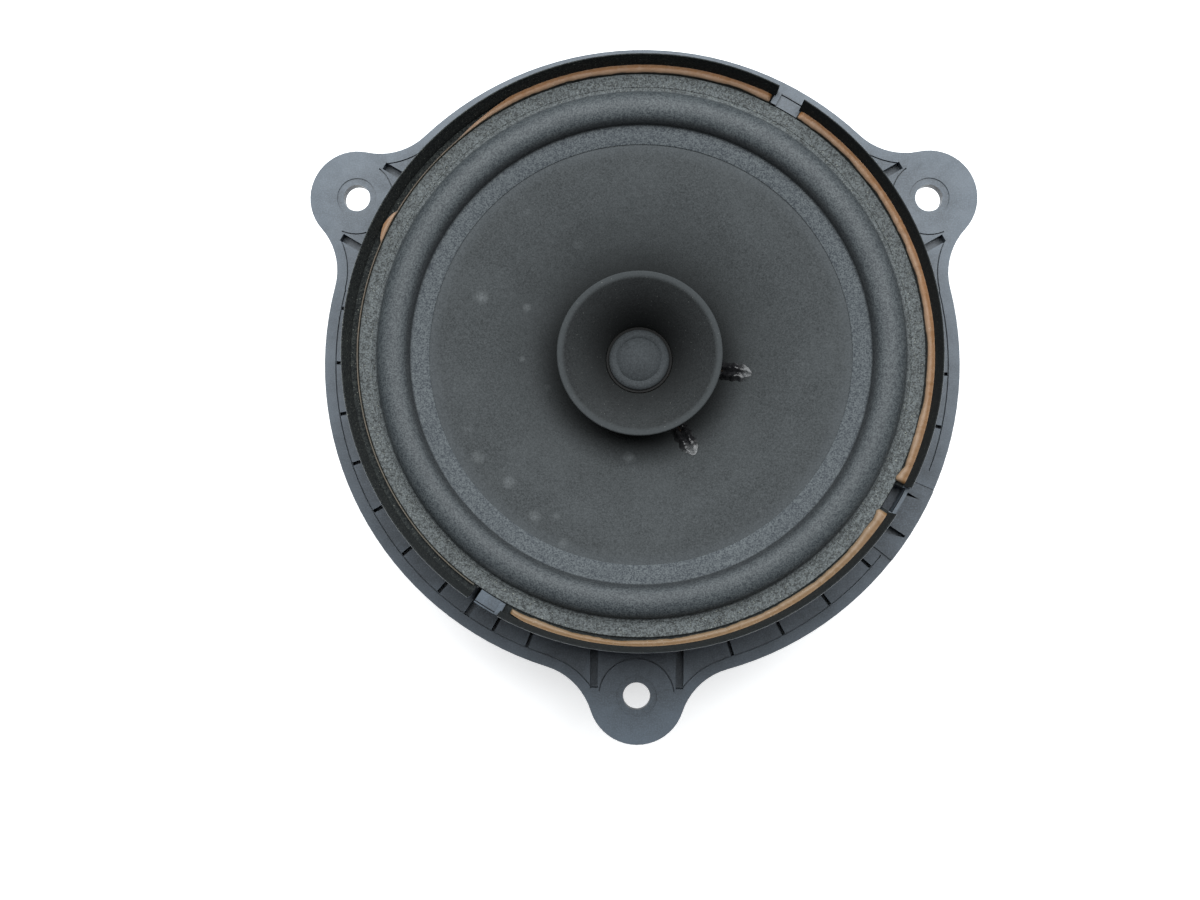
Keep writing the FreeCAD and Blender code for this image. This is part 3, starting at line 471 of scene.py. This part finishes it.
def metal(name, tint, rough, groove=0.18 * MM):
    """Zinc-plated steel, turned, with faint stains."""
    f = Finish(name)
    radius, height = f.around()
    rings = f.noise(1, 2, 0.5, f.node("ShaderNodeCombineXYZ", "Vector", {
        "X": f.math("DIVIDE", radius, groove), "Y": f.math("DIVIDE", height, groove)}))
    stain = f.noise(7 * MM, 5, 0.65)
    colour = f.mix(f.map(stain, 0.4, 0.75), tint, tuple(c * s for c, s in zip(tint, (0.8, 0.72, 0.6))))
    roughness = f.math("ADD", f.map(rings, 0.3, 0.7, rough - 0.06, rough + 0.08),
                       f.map(stain, 0.5, 0.8, 0, 0.15))
    return f.finish(colour, roughness, rings, 0.01 * MM, Metallic=1.0)


def ferrite():
    """Dark grey ceramic, ground in fine rings, with small chips."""
    f = Finish("ferrite")
    grit = f.noise(0.3 * MM, 4, 0.7)
    chip = f.map(f.noise(3 * MM, 5, 0.7), 0.6, 0.7)
    height = f.separate(f.place)["Z"]
    grind = f.noise(1, 2, 0.5, f.node("ShaderNodeCombineXYZ", "Vector", {
        "Z": f.math("DIVIDE", height, 0.4 * MM)}))
    colour = f.mix(f.map(grit, 0.4, 0.7), (0.03, 0.03, 0.032), (0.075, 0.075, 0.078))
    colour = f.mix(f.math("MULTIPLY", chip, 0.5), colour, (0.13, 0.13, 0.13))
    relief = f.math("ADD", grit, f.math("MULTIPLY", grind, 0.5))
    return f.finish(colour, f.map(grit, 0.3, 0.7, 0.5, 0.7), relief, 0.05 * MM)


def resin_cloth():
    """The spider's woven cloth, stiffened with amber resin."""
    f = Finish("spider_cloth")
    axes = f.separate(f.place)
    pitch = 0.55 * MM / (2 * math.pi)
    warp = f.math("SINE", f.math("DIVIDE", axes["X"], pitch))
    weft = f.math("SINE", f.math("DIVIDE", axes["Y"], pitch))
    weave = f.math("MULTIPLY", warp, weft)
    cloud = f.noise(6 * MM, 3)
    colour = f.mix(f.map(weave, -0.6, 0.8), (0.2, 0.12, 0.035), (0.55, 0.4, 0.17))
    colour = f.mix(f.map(cloud, 0.4, 0.7, 0, 0.4), colour, (0.62, 0.46, 0.2))
    return f.finish(colour, 0.62, weave, 0.12 * MM)


def tinsel_braid():
    """Flat copper threads plaited round a core."""
    f = Finish("tinsel_braid")
    axes = f.separate(f.place)
    pitch = 0.5 * MM / (2 * math.pi)
    total = f.math("ADD", f.math("ADD", axes["X"], axes["Y"]), axes["Z"])
    other = f.math("SUBTRACT", f.math("SUBTRACT", axes["X"], axes["Y"]), axes["Z"])
    plait = f.math("MULTIPLY", f.math("SINE", f.math("DIVIDE", total, pitch)),
                   f.math("SINE", f.math("DIVIDE", other, pitch)))
    colour = f.mix(f.map(plait, -0.5, 0.7), (0.16, 0.1, 0.05), (0.62, 0.45, 0.24))
    return f.finish(colour, 0.45, plait, 0.1 * MM, Metallic=0.35)


def kraft_paper():
    """Brown wrapping paper with visible fibres."""
    f = Finish("former_paper")
    fibre = f.noise(1.1 * MM, 5, 0.75, distortion=1.4)
    colour = f.mix(f.map(fibre, 0.35, 0.65), (0.22, 0.13, 0.065), (0.42, 0.29, 0.16))
    return f.finish(colour, 0.8, fibre, 0.05 * MM)


def copper():
    """Enamelled wire wound in fine turns."""
    f = Finish("copper_wire")
    height = f.separate(f.place)["Z"]
    turns = f.math("SINE", f.math("DIVIDE", height, 0.26 * MM / (2 * math.pi)))
    stain = f.noise(4 * MM, 3)
    colour = f.mix(f.map(stain, 0.4, 0.7), (0.5, 0.17, 0.06), (0.7, 0.3, 0.12))
    return f.finish(colour, 0.3, turns, 0.08 * MM, Metallic=1.0, Coat_Weight=0.4)


def lacquered_wire():
    """Coil wire under a dark lacquer."""
    f = Finish("lacquered_wire")
    stain = f.noise(0.7 * MM, 3)
    colour = f.mix(f.map(stain, 0.4, 0.7), (0.012, 0.009, 0.007), (0.035, 0.022, 0.014))
    return f.finish(colour, f.map(stain, 0.3, 0.7, 0.3, 0.5), stain, 0.04 * MM)


def foam():
    """Black foam with open pores."""
    f = Finish("gasket_foam")
    pores = f.cells(0.5 * MM)
    fine = f.noise(0.3 * MM, 3)
    colour = f.mix(f.map(pores, 0.05, 0.5), (0.012, 0.012, 0.013), (0.05, 0.05, 0.052))
    return f.finish(colour, 0.95, f.math("ADD", pores, fine), 0.2 * MM, Specular_IOR_Level=0.2)


def solder():
    """Half bright, half dull solder."""
    f = Finish("solder")
    dull = f.noise(0.8 * MM, 4)
    colour = f.mix(f.map(dull, 0.4, 0.7), (0.42, 0.42, 0.43), (0.62, 0.62, 0.63))
    return f.finish(colour, f.map(dull, 0.3, 0.7, 0.25, 0.5), dull, 0.06 * MM, Metallic=1.0)


def nylon():
    """The terminal housing: the frame's kind of plastic, a little darker and smoother."""
    f, body, rough, relief = moulded_plastic("terminal_plastic", (0.02, 0.021, 0.023),
                                             (0.035, 0.036, 0.039), 0.42)
    return f.finish(body, rough, relief, 0.03 * MM)


PLASTIC = basket_plastic()
NYLON = nylon()
CLOTH_FINISH = speckled_cloth()
CONE_PAPER = cone_paper()
WHIZZER_PAPER = whizzer_paper()
CAP_PAPER = cap_paper()
STRIP_GLUE = strip_adhesive()
EDGE_GLUE = edge_adhesive()
TAN_GLUE = adhesive("spider_adhesive", (0.22, 0.12, 0.05), (0.34, 0.22, 0.13), 0.4)
BLACK_GLUE = adhesive("black_adhesive", (0.006, 0.006, 0.007), (0.013, 0.013, 0.014), 0.14, 0.5)
STEEL = metal("plated_steel", (0.42, 0.42, 0.405), 0.34)
SCREW_STEEL = metal("screw_steel", (0.5, 0.5, 0.5), 0.28, 0.12 * MM)
TERMINAL_METAL = metal("terminal_metal", (0.68, 0.64, 0.55), 0.25, 0.2 * MM)

NODE_FINISHES = {
    "basket": PLASTIC, "rear_gasket": foam(), "neck_glue_ring": BLACK_GLUE, "coil_former": kraft_paper(),
    "voice_coil": copper(), "spider_glue_ring": TAN_GLUE, "top_plate": STEEL, "magnet": ferrite(),
    "back_plate": STEEL, "pole_piece": STEEL, "motor_screws": SCREW_STEEL, "terminal_housing": NYLON,
    "terminal_blades": TERMINAL_METAL, "solder_joints": solder(), "coil_lead_wires": lacquered_wire(),
}


# ---------------------------------------------------------------- pieces


def surround():
    """Half roll with two flat bands, a pressed line on the outer band and a soft turn into the roll."""
    top = SEAT + CLOTH
    turn = 0.6 * MM
    rise = CROWN - top - turn
    outer, inner = ROLL_MIDDLE + ROLL_HALF, ROLL_MIDDLE - ROLL_HALF
    line = 66.35 * MM
    profile = [(SURROUND_RADIUS, SEAT), (SURROUND_RADIUS, top - 0.15 * MM)]
    profile += [(SURROUND_RADIUS - 0.15 * MM, top)]
    profile += [(line + 0.2 * MM, top), (line + 0.1 * MM, top - 0.16 * MM)]
    profile += [(line - 0.1 * MM, top - 0.16 * MM), (line - 0.2 * MM, top)]
    profile += bow((outer + turn, top + turn), turn, turn, 270, 184, 10)
    profile += bow((ROLL_MIDDLE, top + turn), ROLL_HALF, rise, 3, 177, 64)
    profile += bow((inner - turn, top + turn), turn, turn, -4, -90, 10)
    profile += [(CONE_EDGE + 0.15 * MM, SEAT + 0.34 * MM), (CONE_EDGE, SEAT + 0.22 * MM)]
    profile += [(CONE_EDGE, SEAT + 0.01 * MM)]
    profile += [(inner + CLOTH - 0.2 * MM, SEAT + 0.01 * MM)]
    profile += bow((ROLL_MIDDLE, top), ROLL_HALF - CLOTH, CROWN - top - CLOTH, 177, 3, 40)
    profile += [(outer - CLOTH + 0.2 * MM, SEAT)]
    made = lathe("surround_roll", profile, CLOTH_FINISH, 480)
    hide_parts("surround")
    hang_between(made)


def cone_arc(lift, count=90):
    """The cone's wall from neck to lip: its underside where lift is 0, its front where lift is 1."""
    first = (NECK_RADIUS, NECK + 0.9 * MM * lift)
    middle = (NECK_RADIUS + (17 - 0.4 * lift) * MM, NECK + (12.6 + 0.6 * lift) * MM)
    last = (CONE_EDGE - 1.1 * MM, SEAT - 0.6 * MM * (1 - lift))
    return arc_through(first, middle, last, count)


def cone():
    """The paper cone, from the neck to the lip that the surround is glued to."""
    under = cone_arc(0)
    front = cone_arc(1)
    profile = under + [(CONE_RADIUS, SEAT - 0.6 * MM), (CONE_RADIUS, SEAT)] + front[::-1]
    made = lathe("cone_paper_wall", profile, CONE_PAPER, 400)
    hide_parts("cone")
    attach(made, CONE_BODY)


def whizzer():
    """A flared horn with a rolled rim and a glued foot."""
    skin = 0.4 * MM
    rim = 0.38 * MM
    foot = NECK + 2.2 * MM
    inside = arc_through((NECK_RADIUS, NECK + 4.3 * MM), (NECK_RADIUS + 3.2 * MM, NECK + 12.6 * MM),
                         (WHIZZER_RADIUS - 1.75 * MM, WHIZZER_TOP - 0.25 * MM), 60)
    outside = arc_through((NECK_RADIUS + skin, NECK + 4 * MM), (NECK_RADIUS + 3.65 * MM, NECK + 12.4 * MM),
                          (WHIZZER_RADIUS - 1.45 * MM, WHIZZER_TOP - 0.75 * MM), 60)
    profile = [(NECK_RADIUS, foot), (NECK_RADIUS + 1.2 * MM, foot), (NECK_RADIUS + 1.2 * MM, foot + skin)]
    profile += [(NECK_RADIUS + skin, foot + skin)] + outside
    profile += bow((WHIZZER_RADIUS - rim, WHIZZER_TOP - rim), rim, rim, -100, 100, 16)
    profile += [(WHIZZER_RADIUS - 0.9 * MM, WHIZZER_TOP - 0.02 * MM)]
    profile += [(WHIZZER_RADIUS - 1.4 * MM, WHIZZER_TOP - 0.06 * MM)]
    profile += inside[::-1]
    made = lathe("whizzer_flare", profile, WHIZZER_PAPER, 320, 50)
    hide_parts("whizzer_cone")
    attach(made, CONE_BODY)


def dust_cap():
    """A pressed cap: rounded outer ring, shallow valley, low dome."""
    skin = 0.4 * MM
    floor = CAP_TOP - 1.9 * MM
    ball = 11.8 * MM
    centre = CAP_TOP - ball
    valley = CAP_RADIUS - 2.3 * MM

    def dome(size, start, end):
        return [(r, centre + math.sqrt(size * size - r * r)) for r in np.linspace(start, end, 24)]

    ring = arc_through((CAP_RADIUS, floor), (CAP_RADIUS - 0.95 * MM, floor + 0.7 * MM),
                       (valley, floor + 0.42 * MM), 18)
    under = arc_through((valley, floor - 0.3 * MM), (CAP_RADIUS - 1.05 * MM, floor + 0.3 * MM),
                        (CAP_RADIUS - skin, floor - 0.1 * MM), 18)
    brim = NECK_RADIUS - 0.03 * MM
    shelf = FORMER_TOP + 0.02 * MM
    profile = [(CAP_RADIUS, CAP_LOW), (CAP_RADIUS, shelf), (brim, shelf), (brim, shelf + 0.12 * MM)]
    profile += [(CAP_RADIUS, shelf + 0.16 * MM)] + ring
    profile += dome(ball, valley - 0.5 * MM, 0) + dome(ball - skin, 0, valley - 0.6 * MM)
    profile += under + [(CAP_RADIUS - skin, CAP_LOW)]
    made = lathe("dust_cap_pressing", profile, CAP_PAPER, 200, 60)
    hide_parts("dust_cap")
    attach(made, CONE_BODY)


# Runs of the edge adhesive, as start and end angles in degrees.
GLUE_RUNS = ((63.2, 235), (244, 327.2), (333.7, 416.8))
# Where its width changes: angle and reach in degrees, added width in millimetres.
GLUE_SWELLS = ((322, 6, 0.5), (343, 7, 0.35), (326.5, 1.6, 0.8), (334.6, 2.2, 0.9), (266, 30, -0.5))
# Its outline from the cloth to the collar: share of its width, share of its height.
GLUE_SHAPE = ((0, 0), (0.05, 0.4), (0.18, 0.78), (0.35, 0.96),
              (0.52, 1), (0.7, 0.97), (0.87, 0.93), (1, 0.95))


def bead_fill(angle):
    """How full the adhesive is at an angle in degrees: 1 on the right, nearly none on the left."""
    turn = angle % 360
    fading_in = (turn - 236) / 11
    fading_out = (131 - turn) / 14
    patch = 0.75 * max(0, 1 - abs(turn - 153.5) / 3.4) ** 0.5
    return min(1, max(0, patch, fading_out, fading_in))


def bead_section(angle, end_share):
    """The adhesive's outline at an angle, from the cloth to the collar, as (radius, height) points."""
    wave = noise.noise(Vector((angle / 4.5, 0.3, 0)))
    ripple = noise.noise(Vector((angle / 1.1, 7, 0)))
    width = (1.75 + 0.3 * wave + 0.12 * ripple) * MM
    for place, reach, extra in GLUE_SWELLS:
        width += extra * MM * max(0, 1 - abs(angle % 360 - place) / reach)
    height = (1.1 + 0.25 * wave + 0.15 * ripple) * MM
    fill = bead_fill(angle)
    inner = WALL_RADIUS - width * fill - 1.9 * MM * (1 - fill)
    outer = WALL_RADIUS - 1.6 * MM * (1 - fill)
    height *= (0.22 + 0.78 * fill) * end_share
    width = outer - inner
    top = SEAT + CLOTH + 0.01 * MM
    points = [(inner + share * width, top + lift * height) for share, lift in GLUE_SHAPE]
    foot = max(inner, SURROUND_RADIUS + 0.03 * MM)
    return points + [(outer, SEAT + 0.02 * MM), (foot, SEAT + 0.02 * MM), (foot, top - 0.02 * MM)]


def bead_part(start, end):
    """Vertices and faces of one run of adhesive, which thins out at both ends."""
    step_angle = 0.35
    taper_angle = 0.8
    steps = int((end - start) / step_angle)
    vertices, faces = [], []
    for step in range(steps + 1):
        angle = start + (end - start) * step / steps
        end_share = min(1, math.sqrt(min(angle - start, end - angle) / taper_angle + 0.02))
        section = bead_section(angle, end_share)
        cosine, sine = math.cos(math.radians(angle)), math.sin(math.radians(angle))
        vertices += [(radius * cosine, radius * sine, height) for radius, height in section]
    ring = len(section)
    for step in range(steps):
        for index in range(ring):
            a, b = step * ring + index, step * ring + (index + 1) % ring
            faces.append((a, b, b + ring, a + ring))
    faces.append(tuple(range(ring)))
    faces.append(tuple(range(steps * ring, steps * ring + ring)))
    return vertices, faces


def glue_bead():
    """The edge adhesive: three separate runs in one mesh, fixed to the frame."""
    vertices, faces = [], []
    for start, end in GLUE_RUNS:
        more, shapes = bead_part(start, end)
        offset = len(vertices)
        vertices += more
        faces += [tuple(index + offset for index in shape) for shape in shapes]
    made = add_mesh("surround_glue_run", vertices, faces, EDGE_GLUE, 70)
    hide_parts("surround_glue_bead")
    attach(made, FRAME_BODY)


def glue_strips():
    """Two ridged runs of black cement on the cone, from under the whizzer's rim outward."""
    front = np.array(cone_arc(1))
    start = 17.5 * MM
    end = 28.4 * MM
    half_width = 2.2 * MM
    angles = (351, 299.5)
    rows, columns = 44, 25
    vertices, faces = [], []
    for strip, angle in enumerate(angles):
        turn = math.radians(angle)
        layers = ([], [])
        for row in range(rows):
            share = row / (rows - 1)
            wobble = noise.noise(Vector((share * 9, strip * 5, 1)))
            narrowing = min(1, (1.04 - share) / 0.22) ** 0.5
            for column in range(columns):
                side = 2 * column / (columns - 1) - 1
                across = side * half_width * narrowing * (1 + 0.16 * wobble)
                reach = start + (end - start) * share * (1 - 0.04 * side * side)
                radius = math.hypot(reach, across)
                paper = float(np.interp(radius, front[:, 0], front[:, 1])) + 0.03 * MM
                ridge = 0.5 + 0.5 * math.cos(math.pi * (abs(side) - 0.5) / 0.5)
                fade = min(1, (1.0 - share) / 0.4)
                rough = 1 + 0.35 * noise.noise(Vector((share * 14, side * 2.2, strip * 9)))
                crown = (1 - abs(side) ** 3) * (0.35 + 0.75 * ridge * fade)
                lift = crown * (0.25 + 0.75 * fade) * rough * MM
                x = reach * math.cos(turn) - across * math.sin(turn)
                y = reach * math.sin(turn) + across * math.cos(turn)
                layers[0].append((x, y, paper + 0.02 * MM + lift))
                layers[1].append((x, y, paper))
        first = len(vertices)
        vertices += layers[0] + layers[1]
        faces += slab_faces(first, rows, columns)
    made = add_mesh("lead_glue_strips", vertices, faces, STRIP_GLUE, 60)
    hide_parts("lead_glue_dabs")
    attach(made, CONE_BODY)


def slab_faces(first, rows, columns):
    """Faces of a closed slab whose top grid of vertices is followed by its bottom grid."""
    under = rows * columns
    faces = []
    for row in range(rows - 1):
        for column in range(columns - 1):
            a = first + row * columns + column
            square = (a, a + 1, a + columns + 1, a + columns)
            faces.append(square)
            faces.append(tuple(index + under for index in square))
    rim = [first + column for column in range(columns)]
    rim += [first + row * columns + columns - 1 for row in range(1, rows)]
    rim += [first + (rows - 1) * columns + column for column in range(columns - 2, -1, -1)]
    rim += [first + row * columns for row in range(rows - 2, 0, -1)]
    for here, there in zip(rim, rim[1:] + rim[:1]):
        faces.append((here, there, there + under, here + under))
    return faces


def hung_copies():
    """Free copies of the spider and the tinsel leads, with their placement baked in."""
    spider = copy_node("spider", "spider_disc", resin_cloth())
    hang_between(spider)
    leads = copy_node("tinsel_leads", "tinsel_lead_pair", tinsel_braid())
    hang_between(leads)


def dress_nodes():
    """Put the finishes on the CAD nodes and soften the basket's moulded edges."""
    for name, material in NODE_FINISHES.items():
        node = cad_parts[name]
        for slot in node.material_slots:
            slot.material = material
    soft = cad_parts["basket"].modifiers.new("soft_edges", "BEVEL")
    soft.width = 0.12 * MM
    soft.segments = 2
    soft.limit_method = "ANGLE"
    soft.angle_limit = math.radians(40)


surround()
cone()
whizzer()
dust_cap()
glue_bead()
glue_strips()
hung_copies()
dress_nodes()


# ---------------------------------------------------------------- studio


def area_light(name, place, target, size, power, tint):
    """A rectangular lamp aimed at a target; its power is in watts."""
    lamp = bpy.data.lights.new(name, "AREA")
    lamp.shape = "RECTANGLE"
    lamp.size, lamp.size_y = size
    lamp.energy = power
    lamp.color = tint
    made = bpy.data.objects.new(name, lamp)
    made.location = place
    made.rotation_euler = (Vector(target) - Vector(place)).to_track_quat("-Z", "Y").to_euler()
    bpy.context.scene.collection.objects.link(made)


def studio():
    """A pale floor under the motor, one broad key light beyond the upper ears, and a weak even fill."""
    floor_finish = Finish("studio_floor")
    cloud = floor_finish.noise(0.3, 2)
    pale = floor_finish.mix(floor_finish.map(cloud, 0.3, 0.7), (0.86, 0.87, 0.88), (0.9, 0.9, 0.9))
    floor_finish.finish(pale, 0.8, Emission_Color=(1.0, 1.0, 1.0), Emission_Strength=0.55)
    half = 3.0
    corners = [(-half, -half, 0), (half, -half, 0), (half, half, 0), (-half, half, 0)]
    mesh = bpy.data.meshes.new("studio_floor")
    mesh.from_pydata(corners, [], [(0, 1, 2, 3)])
    mesh.materials.append(floor_finish.material)
    floor = bpy.data.objects.new("studio_floor", mesh)
    floor.location.z = BASE - 0.2 * MM
    bpy.context.scene.collection.objects.link(floor)
    key_place = (0.03, 0.35, 0.74)
    key_size = (1.2, 0.74)
    area_light("key", key_place, (0, 0, 0), key_size, 17, (0.96, 0.985, 1.0))
    world = bpy.data.worlds.new("studio_world")
    world.use_nodes = True
    fill = world.node_tree.nodes["Background"]
    fill.inputs["Color"].default_value = (0.95, 0.97, 1, 1)
    fill.inputs["Strength"].default_value = 0.14
    bpy.context.scene.world = world
    bpy.context.scene.view_settings.view_transform = "Standard"


def camera():
    """Almost square to the speaker's face, from slightly below its middle.

    Lens and sensor are in millimetres, shifts in shares of the picture's width, turns in radians.
    """
    lens = bpy.data.cameras.new("camera")
    lens.sensor_width = 36
    lens.lens = 46.23
    lens.shift_x = 0.0408
    lens.shift_y = -0.0112
    made = bpy.data.objects.new("camera", lens)
    made.location = (-2.1 * MM, -42.1 * MM, 404 * MM)
    made.rotation_euler = (0.0565, 0.0509, 0.0106)
    bpy.context.scene.collection.objects.link(made)
    bpy.context.scene.camera = made


studio()
camera()
